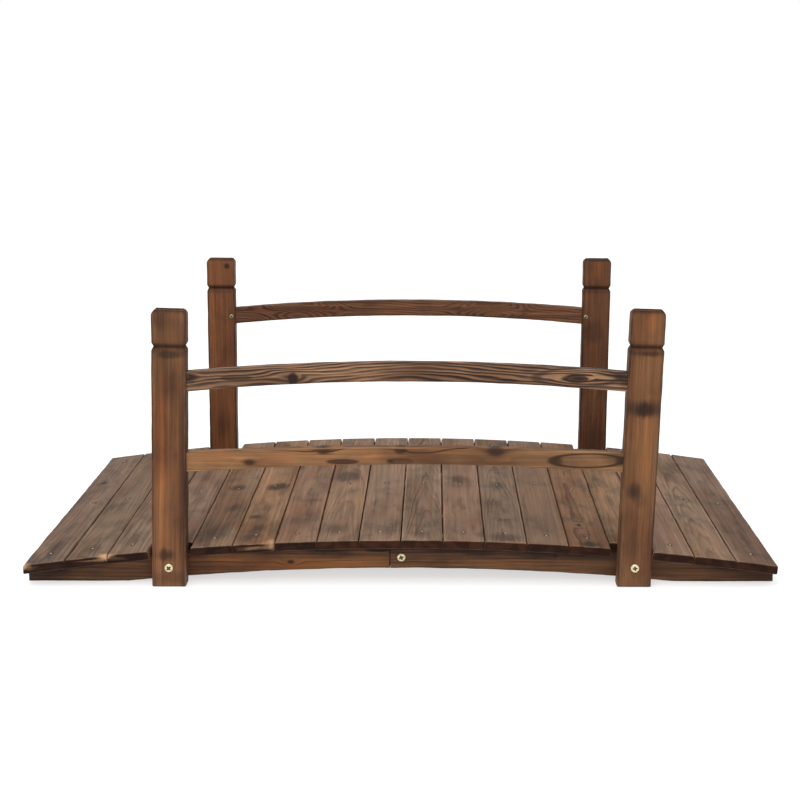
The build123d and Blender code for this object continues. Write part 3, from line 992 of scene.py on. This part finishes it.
rail_screw_pieces = []
for row, lean in LEANS.items():
    out = 1 if row == "front" else -1
    inner_y = -out * (RAIL_LINE - POST_THICK / 2)
    for crown, rise, depth in RAIL_SIZES.values():
        height = crown - rise - depth / 2 - SCREW_DROP
        for side in (-1, 1):
            x = side * (POST_SPACING / 2 - POST_HALF + SCREW_INSET) + tan(lean) * (height - BOLT_HEIGHT)
            placing = Matrix.Translation((x, inner_y, height)) @ Matrix.Rotation(-radians(90) * out, 4, "X")
            rail_screw_pieces.append((*screw_head(*RAIL_SCREW, side + out), placing))
rail_screws = join_pieces("rail_screws", rail_screw_pieces, zinc_plate("screw_plate", paint(150, 142, 112)))
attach(rail_screws, "root")


# The studio: a white floor, a white surround, and large soft lights over and in front of the
# bridge. The camera stands in front and a little to the right of the middle, as in the photo.

FLOOR_RADIUS = 60
FLOOR_DROP = 0.0005
FLOOR_GREY = 0.48
FLOOR_GLOW = 0.6
LIGHTS = {
    "key_light": ((-0.8, -1.4, 3.4), (0, 0, 0.1), 2.4, 62),
    "front_light": ((1.0, -4.2, 1.2), (0, 0, 0.25), 3.0, 16),
}
FRAME_PIXELS = 800
SENSOR_WIDTH = 36
FOCUS_PIXELS = 1195.6967
CENTRE_X, CENTRE_Y = 438.0, 245.682
YAW, PITCH, ROLL = 0.0026346, 0.1452976, 0.0020558
STAND = Vector((0.0668404, -2.5915628, 1.0189917))
WHITE = (1.0, 1.0, 1.0, 1.0)

world = bpy.data.worlds.new("white_surround")
bpy.context.scene.world = world
world.use_nodes = True
world.node_tree.nodes["Background"].inputs["Color"].default_value = WHITE
world.node_tree.nodes["Background"].inputs["Strength"].default_value = 1.0

floor_mesh = bpy.data.meshes.new("studio_floor")
turns = [2 * pi * step / 64 for step in range(64)]
rim = [(FLOOR_RADIUS * cos(turn), FLOOR_RADIUS * sin(turn), -FLOOR_DROP) for turn in turns]
floor_mesh.from_pydata(rim, [], [tuple(range(len(rim)))])
floor = bpy.data.objects.new("studio_floor", floor_mesh)
bpy.context.scene.collection.objects.link(floor)
floor_white = Finish("floor_white")
for label, value in {
    "Base Color": (FLOOR_GREY, FLOOR_GREY, FLOOR_GREY, 1.0), "Roughness": 0.9,
    "Specular IOR Level": 0.0, "Emission Color": WHITE, "Emission Strength": FLOOR_GLOW,
}.items():
    floor_white.shader.inputs[label].default_value = value
floor_mesh.materials.append(floor_white.material)

for name, (place, aim, size, power) in LIGHTS.items():
    lamp = bpy.data.lights.new(name, "AREA")
    lamp.shape = "DISK"
    lamp.size = size
    lamp.energy = power
    holder = bpy.data.objects.new(name, lamp)
    holder.location = place
    holder.rotation_euler = (Vector(place) - Vector(aim)).to_track_quat("Z", "Y").to_euler()
    bpy.context.scene.collection.objects.link(holder)

lens = bpy.data.cameras.new("camera")
lens.sensor_width = SENSOR_WIDTH
lens.lens = FOCUS_PIXELS / FRAME_PIXELS * SENSOR_WIDTH
lens.shift_x = (FRAME_PIXELS / 2 - CENTRE_X) / FRAME_PIXELS
lens.shift_y = -(FRAME_PIXELS / 2 - CENTRE_Y) / FRAME_PIXELS
camera = bpy.data.objects.new("camera", lens)
bpy.context.scene.collection.objects.link(camera)
forward = Vector((sin(YAW) * cos(PITCH), cos(YAW) * cos(PITCH), -sin(PITCH)))
level = Vector((cos(YAW), -sin(YAW), 0))
upright = level.cross(forward)
right = level * cos(ROLL) + upright * sin(ROLL)
over = upright * cos(ROLL) - level * sin(ROLL)
camera.matrix_world = Matrix.Translation(STAND) @ Matrix((right, over, -forward)).transposed().to_4x4()
bpy.context.scene.camera = camera
bpy.context.scene.view_settings.view_transform = "Standard"
